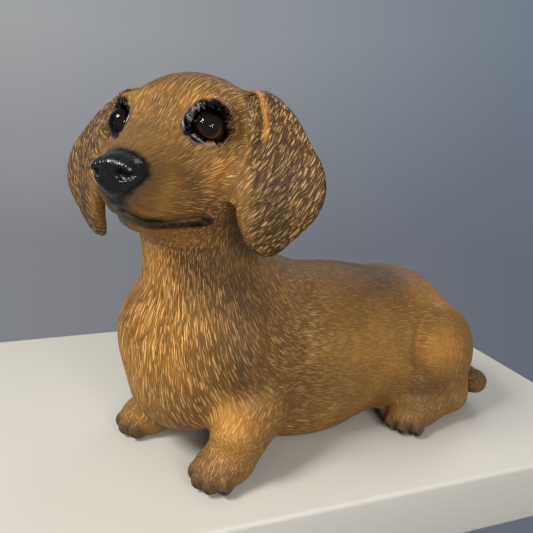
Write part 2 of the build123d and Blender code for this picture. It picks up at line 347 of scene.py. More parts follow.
class Ear:
    """A hanging leather: a curved sheet inside an outline, with a rolled front edge."""

    def __init__(self, side):
        self.side = side
        self.axes = turn(y=-side * EAR_FLARE) @ turn(z=-side * EAR_SWING)
        self.root = sided(EAR_ROOT, side)
        self.fold = Oval((-3, 1, -2), (8, 8, 6))
        self.roll = chain([(4.0, -2.6, -5.0), (8.0, -2.2, 2.5), (10.8, -3.4, 9.0), (10.8, -5.2, 14.0),
                           (10.2, -7.2, 18.5), (9.8, -9.2, 23.0), (9.3, -10.4, 29.0)],
                          (2.0, 1.8, 1.6, 1.6, 1.6, 1.5, 0.9), 1.5)
        self.valleys = [
            fold_line((7.6, 0.0, -0.5), (9.4, 0.2, 2.5), (12.6, -1.2, 9.0), (12.6, -3.0, 14.0)),
            fold_line((7.4, 3.8, -1.0), (10.0, 3.6, 2.6), (13.6, 2.0, 9.0), (13.0, -1.8, 15.0)),
        ]

    def own(self, local):
        """Out, back and down of points given in the head's frame."""
        turned = (local - self.root) @ self.axes
        return np.stack([turned[:, 0] * self.side, turned[:, 1], -turned[:, 2]], -1)

    def back_to_head(self, out, back, down):
        return self.root + self.axes @ vec(out * self.side, back, -down)

    @staticmethod
    def sheet_height(back, down):
        """How far the middle of the leather stands out at a place on it."""
        span = np.clip(down - EAR_CURL_DROP, -36, 36)
        curl = EAR_CURL_R - np.sqrt(EAR_CURL_R ** 2 - span * span)
        return EAR_STAND - curl + 0.006 * back * np.abs(back)

    def sheet(self, own):
        out, back, down = own.T
        edge = None
        for cv, cu, rv, ru, soft in EAR_OUTLINE:
            near = np.sqrt(((down - cu) / ru) ** 2 + ((back - cv) / rv) ** 2)
            slope = np.sqrt(((down - cu) / ru ** 2) ** 2 + ((back - cv) / rv ** 2) ** 2) + 1e-9
            ring = near * (near - 1) / slope
            edge = ring if edge is None else fuse(edge, ring, soft)
        lift = out - self.sheet_height(back, down)
        return np.hypot(np.maximum(edge + EAR_HALF, 0), lift) - EAR_HALF

    def distance(self, local):
        own = self.own(local)
        clay = self.sheet(own)
        clay = fuse(clay, self.fold.distance(own), 4)
        clay = fuse(clay, lump_all(self.roll, own), 1.6)
        for valley in self.valleys:
            clay = clay + 0.8 * np.exp(-(lump_all(valley, own) / 0.9) ** 2)
        return clay * 0.75

    def blank(self, bm, place):
        """A flattened ball bent along the sheet, and a ball at the fold."""
        sheet = bmesh.ops.create_icosphere(bm, subdivisions=5, radius=1)["verts"]
        for vert in sheet:
            back, down = 5.0 + 18.5 * vert.co.x, 21.0 + 31.0 * vert.co.y
            out = float(self.sheet_height(back, down)) + vert.co.z * (EAR_HALF + 1.6)
            vert.co = place @ Vector(self.back_to_head(out, back, down).tolist())
        at_fold = place @ Matrix.Translation(self.back_to_head(-3, 1, -2).tolist())
        bmesh.ops.create_icosphere(bm, subdivisions=3, radius=6, matrix=at_fold)


EARS = {"ear_left": Ear(1), "ear_right": Ear(-1)}


def nose_clay(local):
    """The nose leather, with its wings, nostrils and middle groove."""
    half = folded(local)
    clay = Oval(NOSE, (7.8, 6.0, 6.4)).distance(half)
    clay = fuse(clay, Oval(NOSE + vec(4.8, -0.6, 0.6), (3.2, 4.4, 3.8)).distance(half), 2.0)
    front = -(half[:, 1] + 42.0) * 0.97 + (half[:, 2] + 9) * -0.24
    clay = carve(clay, -front, 1.2)
    chin = (half[:, 0] - 4.8) * 0.72 - (half[:, 2] + 12.5) * 0.69
    clay = carve(clay, -chin, 2.0)
    return clay


def nose_cuts(local, clay):
    half = folded(local)
    nostril = Oval((3.7, -42.4, -8.8), (2.0, 3.0, 1.8), turn(y=20)).distance(half)
    slit = Limb((4.6, -42.4, -9.6), (8.4, -39.4, -8.8), 1.2, 0.8).distance(half)
    clay = carve(clay, fuse(nostril, slit, 1.0), 0.5)
    groove = chain([(0, -43.8, -9.5), (0, -42.8, -14), (0, -38.6, -18.6)], (0.5, 0.6, 0.7), 0.3)
    return carve(clay, lump_all(groove, half), 0.9)


def head_clay(local):
    """The skull, muzzle, jaw, lids and lips."""
    clay = lump_all(SKULL, local)
    for side in SIDES.values():
        out = sided(EYE_LOOK, side)
        ball = sided(EYE_BALL, side)
        axes = eye_axes(side)
        clay = fuse(clay, Oval(ball - out * 1.6, (8.6, 8.4, 4.8), axes).distance(local), 3)
        clay = fuse(clay, Oval(ball + vec(-side * 2.2, 1.9, 6.6), (6.4, 4.0, 3.0)).distance(local), 4)
        clay = carve(clay, Oval(ball + out * 3.0, (5.2, 5.1, 5.6), axes).distance(local), 1.2)
        upper = Rim(ball + out * 2.5 + axes[:, 1] * 0.7, axes, 5.9, 5.5, 1.25, 1)
        lower = Rim(ball + out * 1.9, axes, 5.7, 5.5, 1.0, 1)
        clay = fuse(clay, upper.distance(local), 1.8)
        clay = fuse(clay, lower.distance(local), 1.8)
    radii = (0.8, 0.9, 0.9, 1.0, 1.1, 1.2, 1.0)
    lip = chain([(x + 0.4, y - 0.5, z + 0.2) for x, y, z in MOUTH], radii, 0.3)
    return carve(clay, lump_all(lip, folded(local)), 1.1)


def trunk_clay(points):
    clay = lump_all(TRUNK, points)
    return carve(clay, points[:, 2], 2)


def leg_clay(points, name):
    clay = lump_all(LEG_LUMPS[name], points)
    return carve(clay, points[:, 2], 1)


LEG_BALLS = {"foreleg_left": ((27, -36, 14), 30), "foreleg_right": ((-21, -49, 14), 30),
             "hind_leg_left": ((24, 54, 24), 35), "hind_leg_right": ((-24, 54, 24), 35)}


def near_only(points, ball, radius, work):
    """A distance worked out only near its piece; farther off, the distance to a ball around it."""
    gap = np.linalg.norm(points - vec(*ball), axis=1) - radius
    close = gap < NEAR_PIECE
    if close.any():
        gap[close] = work(points[close])
    return gap.astype(np.float32)


def part_clays(points):
    """Each piece's own distance, by node name."""
    local = head_frame(points)
    clays = {"torso": trunk_clay(points), "head": near_only(local, (0, -6, -4), 39, head_clay),
             "nose": near_only(local, NOSE, 11, nose_clay),
             "tail": near_only(points, (14, 80, 11), 22, lambda block: lump_all(TAIL, block))}
    for name, (ball, radius) in LEG_BALLS.items():
        clays[name] = near_only(points, ball, radius, lambda block: leg_clay(block, name))
    for name, ear in EARS.items():
        clays[name] = near_only(local, ear.back_to_head(8, 5, 21), 34, ear.distance)
    return clays


# (the fold's line, how deep, how wide)
CREASES = [
    (fold_line((15, -1.5, 63.5), (23, -5.5, 56.5), (26.5, -8, 48.5), (28.5, -9.5, 40), (28, -9.5, 31)),
     1.2, 2.0),
    (fold_line((24.5, 55, 53), (26.3, 49, 51), (28.5, 44, 45.5), (30.8, 41, 38), (32, 41, 31), (33, 43, 26)),
     2.2, 2.2),
    (fold_line((31, -37, 29), (28.5, -41, 32.5), (26, -47.5, 36.5), (20.5, -54.5, 40.5)), 1.0, 2.0),
]


def figure_clay(points):
    """The whole figure as one distance."""
    clays = part_clays(points)
    clay = clays["torso"]
    for name in FORELEGS:
        clay = fuse(clay, clays[name], 6)
    for name in HIND_LEGS:
        clay = fuse(clay, clays[name], 4)
    for lumps, depth, width in CREASES:
        for side in SIDES.values():
            near = lump_all(lumps, points * vec(side, 1, 1)) / width
            clay = clay + depth * np.exp(-near * near)
    clay = fuse(clay, clays["tail"], 3)
    clay = fuse(clay, fuse(clays["head"], clays["nose"], 1.5), 8)
    for name in EARS:
        clay = fuse(clay, clays[name], 3)
    return nose_cuts(head_frame(points), clay)


# ---------------------------------------------------------------- how the hair lies

BACKBONE = [
    ((0, 100, 26), (0, 0.2, 1)), ((0, 76, 32), (0, 0.1, 1)), ((0, 50, 34), (0, 0, 1)),
    ((-1, 22, 37), (0, 0, 1)), ((-2, -2, 41), (0, 0.1, 1)), ((-2, -22, 48), (0, 0.4, 0.9)),
    ((-2.5, -35, 64), (-0.3, 0.95, 0.3)), ((-3.5, -42, 88), (-0.6, 0.8, 0.2)),
    (tuple(on_head(0, 2, 1)), tuple(HEAD_AXES @ vec(0, 0.4, 0.9))),
    (tuple(on_head(0, -20, -8)), tuple(HEAD_AXES @ vec(0, 0, 1))),
    (tuple(on_head(0, -42, -11)), tuple(HEAD_AXES @ vec(0, 0, 1))),
    (tuple(on_head(0, -60, -14)), tuple(HEAD_AXES @ vec(0, 0, 1))),
]


def backbone_samples(per_span=5):
    """Points along the backbone with their way on, dorsal and side directions and arc length."""
    places = np.array([p for p, d in BACKBONE], np.float32)
    dorsals = np.array([d for p, d in BACKBONE], np.float32)
    points, ups = [], []
    for i in range(1, len(places) - 2):
        for t in np.linspace(0, 1, per_span, endpoint=False):
            a, b, c, d = places[i - 1:i + 3]
            points.append(0.5 * (2 * b + (c - a) * t + (2 * a - 5 * b + 4 * c - d) * t ** 2
                                 + (3 * b - a - 3 * c + d) * t ** 3))
            ups.append(dorsals[i] * (1 - t) + dorsals[i + 1] * t)
    points = np.array(points)
    ahead = np.gradient(points, axis=0)
    ahead /= np.linalg.norm(ahead, axis=1, keepdims=True)
    ups = np.array(ups)
    ups -= ahead * (ups * ahead).sum(1, keepdims=True)
    ups /= np.linalg.norm(ups, axis=1, keepdims=True)
    arc = np.concatenate([[0], np.cumsum(np.linalg.norm(np.diff(points, axis=0), axis=1))])
    return points, ups, np.cross(ahead, ups), arc


def body_lay(points, girth=26.0, reach=9.0):
    """Hair coordinates for the trunk, neck and head: along the backbone, and round it."""
    places, ups, sides, arc = backbone_samples()
    gaps = np.stack([((points - place) ** 2).sum(-1) for place in places])
    gaps -= gaps.min(0)
    weights = np.exp(-gaps / (2 * reach * reach))
    weights /= weights.sum(0)
    along = arc.astype(np.float32) @ weights
    high = sum(w * ((points - p) @ u) for w, p, u in zip(weights, places, ups))
    wide = sum(w * ((points - p) @ s) for w, p, s in zip(weights, places, sides))
    size = np.sqrt(high ** 2 + wide ** 2 + 4)
    return np.stack([along, girth * high / size, girth * wide / size], -1).astype(np.float32)


def straight_lay(points, start, towards):
    """Hair coordinates for a limb: along its line, and across it."""
    ahead = unit(vec(*towards) - vec(*start))
    across = unit(np.cross(ahead, vec(0.2, 1, 0.1)))
    third = np.cross(ahead, across)
    local = points - vec(*start)
    return np.stack([local @ ahead, local @ across, local @ third], -1)


def own_lay(points, name):
    """The hair coordinates of a limb or an ear, and how far they hold at each point."""
    if name in EARS:
        out, back, down = EARS[name].own(head_frame(points)).T
        slant = back + down * (0.60 - 0.012 * back)
        return np.stack([down * 0.88 - back * 0.45, slant * 0.86, out * 0.3], -1)
    if name in FORELEGS:
        shoulder, _, ankle = FORELEGS[name][:3]
        return straight_lay(points, on_chest(*shoulder), ankle)
    if name in HIND_LEGS:
        side = HIND_LEGS[name]
        return straight_lay(points, (side * 22, 66, 50), (side * 27, 46, 7))
    return straight_lay(points, (4, 76, 12), (26, 82, 9))


def hair_clumps(lay, length, pitch, seed):
    """Locks of hair as stretched noise, between -1 and 1."""
    scaled = lay / vec(length, pitch, pitch)
    return lattice_noise(scaled, seed) * 0.65 + lattice_noise(scaled * 2.1 + 7, seed + 1) * 0.35


BODY_PIECES = ("torso", "head", "nose")
HEAD_PIECES = ("head", "nose", *EARS)


def own_share(points, name, clays):
    """0 on the seam with the body and 1 well inside the limb or ear."""
    if name in BODY_PIECES:
        return np.zeros(len(points), np.float32)
    base = clays["head"] if name in EARS else clays["torso"]
    return smooth_step(0.3, 2.5 if name in EARS else 7.0, base - clays[name])


def engraving(lay_body, lay_own, share, depth):
    """How far the locks lift the surface."""
    body = hair_clumps(lay_body, 7.0, 1.9, 3)
    own = hair_clumps(lay_own, 8.0, 1.9, 9)
    return depth * (body * (1 - share) + own * share)


# ---------------------------------------------------------------- paint masks

def eye_paint(local):
    """Black around the eyes: lids, the lashes above and the inner corner."""
    black = np.zeros(len(local), np.float32)
    pink = np.zeros(len(local), np.float32)
    for side in SIDES.values():
        axes = eye_axes(side)
        near = (local - sided(EYE_BALL, side)) @ axes
        across, high, out = near.T
        inward = -across * side
        flat = np.hypot(across, high)
        bearing = np.arctan2(high, inward)
        above = 3.4 * np.clip(np.sin(bearing + 0.2), 0, 1) ** 0.8
        corner = 3.6 * np.clip(np.cos(bearing + 0.1), 0, 1) ** 1.5
        reach = 5.0 + np.maximum(above, corner) - 0.5 * smooth_step(0.0, -0.6, np.sin(bearing))
        ragged = lattice_noise(np.stack([bearing * 6, flat * 0.5, flat * 0], -1), 31) * 0.7 * (flat > 6.8)
        black = np.maximum(black, smooth_step(0.9, -0.3, flat - reach + ragged) * (out > -5))
        under = np.exp(-((flat - 5.5) / 0.8) ** 2) * smooth_step(0.1, -0.4, np.sin(bearing - 0.3))
        pink = np.maximum(pink, under * (out > -5))
    return black, pink


def mouth_paint(local):
    """Dark paint in and below the mouth line."""
    half = folded(local)
    line = lump_all(chain(MOUTH, (0.6,) * len(MOUTH), 0), half)
    band = [(0, -34.6, -21.2), (2.6, -31.6, -23), (5.2, -28, -24), (7.4, -22.5, -24.3), (9, -16, -24.3),
            (11.4, -11, -23.8), (14.4, -8, -23)]
    below = lump_all(chain(band, (1.1, 1.3, 1.4, 1.4, 1.4, 1.6, 1.8), 0), half)
    return smooth_step(0.7, -0.2, line), smooth_step(1.0, -0.5, below)


DARK_SPOTS = [
    ((5, 34, 61), (15, 18, 12), 1.0), ((31, -37, 44), (9, 8, 12), 0.7), ((23, -31, 66), (9, 11, 13), 0.85),
    ((17, -41, 77), (8, 9, 8), 0.7), ((30, 40, 8), (11, 13, 9), 0.5), ((34, -48, 8), (9, 10, 8), 0.5),
    ((34, 46, 20), (8, 12, 9), 0.6),
    ((15, -47, 64), (4.5, 5, 9), 0.5), ((0, 62, 60), (13, 15, 8), 0.35), ((34, 60, 52), (9, 16, 6), 0.3),
    ((28, -30, 20), (6, 8, 16), 0.3), ((28, 2, 30), (9, 26, 8), 0.25), ((-31, -30, 44), (11, 9, 13), 0.6),
    ((-3, 30, 62), (13, 17, 12), 0.4), ((0, -4, 68), (14, 14, 12), 0.3), ((30, -16, 52), (8, 6, 16), 0.35),
]
GOLD_SPOTS = [
    ((4, -58, 76), (12, 10, 20), 0.9), ((14, -58, 54), (17, 12, 20), 1.0), ((34, -44, 25), (9, 10, 10), 1.0),
    ((37, 50, 38), (9, 11, 10), 0.6), ((0, -64, 38), (22, 10, 14), 0.7), ((34, -42, 16), (9, 9, 6), 0.6),
    ((-36, 46, 30), (10, 14, 15), 0.9), ((30, 20, 36), (9, 24, 16), 0.25),
    ((-20, -50, 18), (10, 12, 10), 0.8), ((-30, 20, 36), (9, 24, 16), 0.45),
    ((20, 62, 58), (14, 16, 10), 0.35), ((-14, -52, 60), (12, 12, 20), 0.7),
]
HEAD_DARK = [
    ((0, 6, 26), (18, 19, 9), 0.85), ((0, -24, 3), (5, 9, 5), 0.55), ((0, 24, 14), (18, 10, 12), 0.35),
    ((10, -20, 11), (3, 3, 5), 0.25), ((-10, -20, 11), (3, 3, 5), 0.25), ((17, -6, -27), (9, 9, 4), 0.3),
    # the two spots at (25, -3, 6) and (-25, -3, 6) are painted shade on the skull under the hanging ears
    ((25, -3, 6), (6, 9, 13), 0.55), ((-25, -3, 6), (6, 9, 13), 0.55), ((13, -20, -10), (5, 8, 8), 0.35),
]
HEAD_GOLD = [
    ((12, -14, 15), (9, 7, 6), 0.6), ((-10, -14, 15), (9, 7, 6), 0.6), ((20, -10, -6), (9, 10, 9), 0.75),
    ((-20, -10, -6), (9, 10, 9), 0.75), ((0, -16, -30), (14, 16, 6), 0.8), ((10, -8, 20), (9, 9, 5), 0.3),
    ((10, -28, -14), (8, 9, 6), 0.35), ((0, -14, 17), (6, 6, 6), 0.4),
]


def over(masks, key, value):
    """Lays more of one paint over what its mask holds."""
    masks[key] = np.maximum(masks[key], value)


def head_masks(masks, points, local, nose_gap):
    """Paints round the eyes, nose and mouth, and says how deep the head's hair is cut."""
    black, pink = eye_paint(local)
    lips, lip_shade = mouth_paint(local)
    around = smooth_step(3.4, 0.4, nose_gap + lattice_noise(points / 1.4, 5) * 0.5)
    chin = lump_all(chain([(0, -42, -14), (0, -38, -19)], (1.0, 1.6), 1), local)
    around = np.maximum(around, smooth_step(4.5, 0.2, chin))
    grainy = lattice_noise(points / 0.9, 15)
    lips = np.maximum(lips, lip_shade * (0.72 + 0.35 * grainy))
    masks["black"] = np.maximum(np.maximum(black, lips), around ** 1.5)
    over(masks, "dark", smooth_step(10, 1, nose_gap) * 0.7)
    over(masks, "dark", smooth_step(5.0, 1.0, -np.log(np.maximum(black, 1e-3))) * 0.5)
    over(masks, "dark", lip_shade * 0.95)
    masks["pink"] = pink
    return 0.72 - 0.40 * smooth_step(-14, -28, local[:, 1])


def ear_masks(masks, points, own):
    """Paints an ear's dark middle and its light front edge, and says how deep its hair is cut."""
    _, back, down = own.T
    middle = np.exp(-((back - 3.5 - 0.03 * down + lattice_noise(points / 7, 8) * 2) / 3.4) ** 2)
    over(masks, "dark", 0.56 + middle * (0.30 + 0.2 * smooth_step(26, 44, down)))
    strip = np.exp(-((back - 1.0 + 0.012 * down * down) / 1.5) ** 2) * smooth_step(13, 7, down)
    masks["dark"] = masks["dark"] * (1 - 0.8 * strip)
    over(masks, "gold", strip * 0.8)
    top = smooth_step(4, -6, down) * smooth_step(2, 12, back)
    over(masks, "dark", top * 0.5 + smooth_step(36, 46, down) * 0.6)
    over(masks, "gold", np.exp(-((down - 33) / 8) ** 2 - ((back - 8) / 5) ** 2) * 0.6)
    over(masks, "gold", smooth_step(-2.5, -6.5, back) * 0.5)
    return 0.95 * np.ones(len(points), np.float32) - 0.5 * smooth_step(-4.0, -7.0, back) - 0.5 * strip


def leg_masks(masks, points, name, patchy):
    """Paints a leg's claws and toe tips."""
    if name in FORELEGS:
        paw, heading, reach = FORELEGS[name][3], FORELEGS[name][5], 7.0
    else:
        side = HIND_LEGS[name]
        paw, heading, reach = (side * 27, 46, 7), side * 12, 9.0
    tips = np.zeros(len(points), np.float32)
    for centre, lean in claw_places(paw, heading, reach):
        near = (points - centre) @ lean
        gap = np.sqrt((near / vec(1.5, 1.9, 1.7)) ** 2 @ vec(1, 1, 1))
        over(masks, "black", smooth_step(1.3, 0.8, gap))
        wide = np.sqrt((near / vec(4.4, 7.4, 5.0)) ** 2 @ vec(1, 1, 1))
        tips = np.maximum(tips, smooth_step(1.5, 0.6, wide + patchy * 0.25))
    over(masks, "dark", tips * 0.95)


def paint_masks(points, name, clays):
    """The airbrushed parts of the coat and the painted shade near the board and under the ears, each from 0
    to 1, and how deep its hair is cut.
    """
    local = head_frame(points)
    masks = {key: np.zeros(len(points), np.float32) for key in ("dark", "gold", "black", "pink")}
    patchy = lattice_noise(points / 9, 41) * 0.5 + lattice_noise(points / 4, 42) * 0.3
    if name in HEAD_PIECES:
        where, tones = local, {"dark": HEAD_DARK, "gold": HEAD_GOLD}
    else:
        where, tones = points, {"dark": DARK_SPOTS, "gold": GOLD_SPOTS}
    for key, spots in tones.items():
        for centre, radii, strength in spots:
            over(masks, key, spot(where, centre, radii) * strength)
    masks["dark"] = masks["dark"] * (1 + 0.7 * patchy)
    masks["gold"] = masks["gold"] * (1 + 0.3 * patchy)
    # painted shade: the coat darkens within 3 mm of the board, where the figure rests on it
    over(masks, "dark", smooth_step(3.0, 0.5, points[:, 2]) * 0.7)
    relief = 0.45 + 0.55 * spot(points, (10, -52, 58), (26, 20, 30))
    if name == "torso":
        relief = relief * (0.45 + 0.55 * smooth_step(14, -10, points[:, 1]))
    if name == "head":
        relief = head_masks(masks, points, local, clays["nose"])
    if name in EARS:
        relief = ear_masks(masks, points, EARS[name].own(local))
    if name in LEG_LUMPS:
        leg_masks(masks, points, name, patchy)
        relief = np.maximum(relief, 0.35) * smooth_step(2.5, 9, points[:, 2])
    if name in HIND_LEGS:
        relief = relief * 0.7
    if name == "tail":
        over(masks, "dark", 0.6 * smooth_step(14, 24, points[:, 0]))
    masks["relief"] = relief * (1 - masks["black"])
    return {key: np.clip(value, 0, 1).astype(np.float32) for key, value in masks.items()}


# ---------------------------------------------------------------- casting the clay

def read_points(mesh):
    co = np.empty(len(mesh.vertices) * 3, np.float32)
    mesh.vertices.foreach_get("co", co)
    return co.reshape(-1, 3) / MM


def write_points(mesh, points):
    mesh.vertices.foreach_set("co", (points * MM).astype(np.float32).ravel())
    mesh.update()


def mesh_of(bm, name):
    """A new mesh of what was built; its builder is freed."""
    mesh = bpy.data.meshes.new(name)
    bm.to_mesh(mesh)
    bm.free()
    return mesh


def by_chunks(work, points, size=16384):
    """Runs a function of points on blocks of them side by side, and joins what it returns."""
    blocks = [points[i:i + size] for i in range(0, len(points), size)]
    with ThreadPoolExecutor(4) as pool:
        results = list(pool.map(work, blocks))
    if isinstance(results[0], tuple):
        return tuple(np.concatenate(part) for part in zip(*results))
    if isinstance(results[0], dict):
        return {key: np.concatenate([result[key] for result in results]) for key in results[0]}
    return np.concatenate(results)


def slope(field, points, step=0.2):
    """The field's value and gradient, from four nearby samples."""
    corners = np.array([(1, -1, -1), (-1, -1, 1), (-1, 1, -1), (1, 1, 1)], np.float32)
    values = [field(points + corner * step) for corner in corners]
    gradient = sum(corner * value[:, None] for corner, value in zip(corners, values)) / (4 * step)
    return sum(values) / 4, gradient


def settle(points, field, rounds, most):
    """Moves points onto the field's zero surface, at most so far in each round."""
    def work(block):
        for _ in range(rounds):
            value, gradient = slope(field, block)
            square = (gradient ** 2).sum(-1) + 1e-6
            move = np.clip(value / np.sqrt(square), -most, most)
            block = block - gradient * (move / np.sqrt(square))[:, None]
        return block

    return by_chunks(work, points)


def remeshed(mesh, voxel, name):
    """An even quad mesh of a given cell size around a closed mesh."""
    work = bpy.data.objects.new(name, mesh)
    bpy.context.scene.collection.objects.link(work)
    modifier = work.modifiers.new("cells", "REMESH")
    modifier.mode = "VOXEL"
    modifier.voxel_size = voxel * MM
    modifier.use_smooth_shade = True
    bpy.context.view_layer.update()
    result = bpy.data.meshes.new_from_object(work.evaluated_get(bpy.context.evaluated_depsgraph_get()))
    bpy.data.objects.remove(work)
    bpy.data.meshes.remove(mesh)
    keep_outer_shell(result)
    return result


def keep_outer_shell(mesh):
    """Drops the small closed pockets that a remesh leaves inside."""
    ends = np.empty(len(mesh.edges) * 2, np.int32)
    mesh.edges.foreach_get("vertices", ends)
    first, second = ends.reshape(-1, 2).T
    shell = np.arange(len(mesh.vertices))
    while True:
        lowest = np.minimum(shell[first], shell[second])
        if (shell[first] == shell[second]).all():
            break
        np.minimum.at(shell, first, lowest)
        np.minimum.at(shell, second, lowest)
        shell = shell[shell]
    outer = np.bincount(shell).argmax()
    bm = bmesh.new()
    bm.from_mesh(mesh)
    bm.verts.ensure_lookup_table()
    inner = [bm.verts[i] for i in np.nonzero(shell != outer)[0]]
    bmesh.ops.delete(bm, geom=inner, context="VERTS")
    bm.to_mesh(mesh)
    bm.free()


def clay_blank():
    """All lumps as overlapping closed shapes in one mesh."""
    bm = bmesh.new()
    world = Matrix.Scale(MM, 4)
    head = world @ Matrix.Translation(HEAD.tolist()) @ Matrix(HEAD_AXES.tolist()).to_4x4()
    for lump in TRUNK + TAIL + [lump for lumps in LEG_LUMPS.values() for lump in lumps]:
        lump.blank(bm, world)
    for lump in SKULL + [Oval(NOSE, (7.5, 6, 6))]:
        lump.blank(bm, head)
    for ear in EARS.values():
        ear.blank(bm, head)
    return mesh_of(bm, "clay_blank")


def part_labels(points, names):
    clays = part_clays(points)
    order = np.stack([clays[name] for name in names])
    labels = order.argmin(0)
    torso, head = names.index("torso"), names.index("head")
    return np.where((labels == torso) & (points[:, 2] > NECK_SEAT), head, labels)


def tidy_labels(mesh, faces_of_corners, labels, rounds=3):
    """Gives a face its neighbours' label where all but one of them agree against it."""
    edges = np.empty(len(mesh.loops), np.int32)
    mesh.loops.foreach_get("edge_index", edges)
    order = np.argsort(edges, kind="stable")
    first, second = order[0::2], order[1::2]
    a, b = faces_of_corners[first], faces_of_corners[second]
    kinds = labels.max() + 1
    for _ in range(rounds):
        votes = np.zeros((len(labels), kinds), np.int16)
        np.add.at(votes, (a, labels[b]), 1)
        np.add.at(votes, (b, labels[a]), 1)
        winner = votes.argmax(1)
        labels = np.where(votes.max(1) >= 3, winner, labels)
    return labels


def straighten_seams(points, faces, names):
    """Slides the points between two pieces onto the line where the pieces are equally near."""
    lowest = np.full(len(points), 99)
    highest = np.full(len(points), -1)
    np.minimum.at(lowest, faces[:, 0], faces[:, 1])
    np.maximum.at(highest, faces[:, 0], faces[:, 1])
    seam = np.nonzero(lowest < highest)[0]
    low, high = lowest[seam], highest[seam]
    torso, head = names.index("torso"), names.index("head")

    def difference(where):
        clays = part_clays(where)
        order = np.stack([clays[name] for name in names])
        index = np.arange(len(where))
        gap = order[low, index] - order[high, index]
        neck = (low == min(torso, head)) & (high == max(torso, head))
        return np.where(neck, where[:, 2] - NECK_SEAT, gap)

    for _ in range(4):
        where = points[seam]
        value, gradient = slope(difference, where)
        _, normal = slope(figure_clay, where)
        normal /= np.linalg.norm(normal, axis=1, keepdims=True) + 1e-6
        gradient -= normal * (gradient * normal).sum(1, keepdims=True)
        square = (gradient ** 2).sum(1) + 0.05
        move = np.clip(value / np.sqrt(square), -SEAM_PUSH, SEAM_PUSH)
        points[seam] = where - gradient * (move / np.sqrt(square))[:, None]
        points[seam] = settle(points[seam], figure_clay, 1, 0.3)
    return points


CAST = {}


def cast_figure(cell):
    """Casts the whole figure and sorts its faces into pieces."""
    mesh = remeshed(clay_blank(), ROUGH_CELL, "rough_cast")
    write_points(mesh, settle(read_points(mesh), figure_clay, 6, 1.4))
    mesh = remeshed(mesh, cell, "fine_cast")
    points = settle(read_points(mesh), figure_clay, 3, 0.8)
    write_points(mesh, points)
    names = ["torso", "head", "nose", "tail", *LEG_LUMPS, *EARS]
    centres = np.empty(len(mesh.polygons) * 3, np.float32)
    mesh.polygons.foreach_get("center", centres)
    labels = by_chunks(lambda block: part_labels(block, names), centres.reshape(-1, 3) / MM)
    corners = np.empty(len(mesh.loops), np.int32)
    mesh.loops.foreach_get("vertex_index", corners)
    sizes = np.empty(len(mesh.polygons), np.int32)
    mesh.polygons.foreach_get("loop_total", sizes)
    labels = tidy_labels(mesh, np.repeat(np.arange(len(sizes)), sizes), labels)
    faces = np.stack([corners, np.repeat(labels, sizes)], -1)
    write_points(mesh, straighten_seams(points, faces, names))
    CAST.update(mesh=mesh, names=names, labels=labels)


def cut_piece(name, finer=False, finer_where=None):
    """One piece of the cast as a closed mesh, engraved and with its paint masks."""
    index = CAST["names"].index(name)
    bm = bmesh.new()
    bm.from_mesh(CAST["mesh"])
    bm.faces.ensure_lookup_table()
    other = [bm.faces[i] for i in np.nonzero(CAST["labels"] != index)[0]]
    bmesh.ops.delete(bm, geom=other, context="FACES")
    if finer:
        edges = bm.edges[:]
        if finer_where is not None:
            edges = [e for e in edges if all(finer_where(v.co / MM) for v in e.verts)]
        bmesh.ops.subdivide_edges(bm, edges=edges, cuts=1, use_grid_fill=True)
        bmesh.ops.triangulate(bm, faces=[f for f in bm.faces if len(f.verts) > 4])
    rims = [edge for edge in bm.edges if edge.is_boundary]
    caps = bmesh.ops.holes_fill(bm, edges=rims, sides=0)["faces"]
    for cap in caps:
        loop = cap.loops[0]
        if loop.link_loop_radial_next.vert == loop.vert:
            cap.normal_flip()
    bmesh.ops.triangulate(bm, faces=caps)
    bmesh.ops.delete(bm, geom=[v for v in bm.verts if not v.link_faces], context="VERTS")
    mesh = mesh_of(bm, name)
    finish_surface(mesh, name)
    return mesh


def finish_surface(mesh, name):
    """Settles a piece on the engraved surface and stores its hair and paint attributes."""
    depth = bpy.context.scene.figurine_hair.clump_depth / MM

    def work(block):
        clays = part_clays(block)
        share = own_share(block, name, clays)
        lay = body_lay(block)
        own = own_lay(block, name) if name not in BODY_PIECES else lay
        masks = paint_masks(block, name, clays)
        value, normal = slope(figure_clay, block)
        normal /= np.linalg.norm(normal, axis=1, keepdims=True) + 1e-6
        height = engraving(lay, own, share, depth) * masks["relief"]
        return {"share": share, "lay": lay, "own": own.astype(np.float32), "normal": normal, "height": height,
                **masks}

    points = settle(read_points(mesh), figure_clay, 2, 0.3)
    made = by_chunks(work, points)
    share, lay, own, normal, height = (made.pop(key) for key in ("share", "lay", "own", "normal", "height"))
    write_points(mesh, points + normal * height[:, None])
    for key, values in made.items():
        mesh.attributes.new(key, "FLOAT", "POINT").data.foreach_set("value", values)
    mesh.attributes.new("own_share", "FLOAT", "POINT").data.foreach_set("value", share.astype(np.float32))
    mesh.attributes.new("body_lay", "FLOAT_VECTOR", "POINT").data.foreach_set("vector", lay.ravel())
    mesh.attributes.new("own_lay", "FLOAT_VECTOR", "POINT").data.foreach_set("vector", own.ravel())
    mesh.polygons.foreach_set("use_smooth", np.ones(len(mesh.polygons), bool))
    mesh.normals_split_custom_set_from_vertices(relief_normals(mesh, normal).tolist())


def relief_normals(mesh, normal):
    """Vertex normals of the engraved surface that agree across a seam."""
    own = np.empty(len(mesh.vertices) * 3, np.float32)
    mesh.vertices.foreach_get("normal", own)
    own = own.reshape(-1, 3)
    agree = (own * normal).sum(1)
    blend = smooth_step(0.80, 0.97, agree)[:, None]
    mixed = normal * (1 - blend) + own * blend
    return mixed / (np.linalg.norm(mixed, axis=1, keepdims=True) + 1e-6)


def show_piece(name, mesh, material):
    """Links a finished mesh as a piece that stands for its node."""
    mesh.materials.clear()
    mesh.materials.append(material)
    piece = bpy.data.objects.new(name + "_finish", mesh)
    bpy.context.scene.collection.objects.link(piece)
    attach(piece, "root")
    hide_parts(name)
    return piece


# ---------------------------------------------------------------- shader expressions

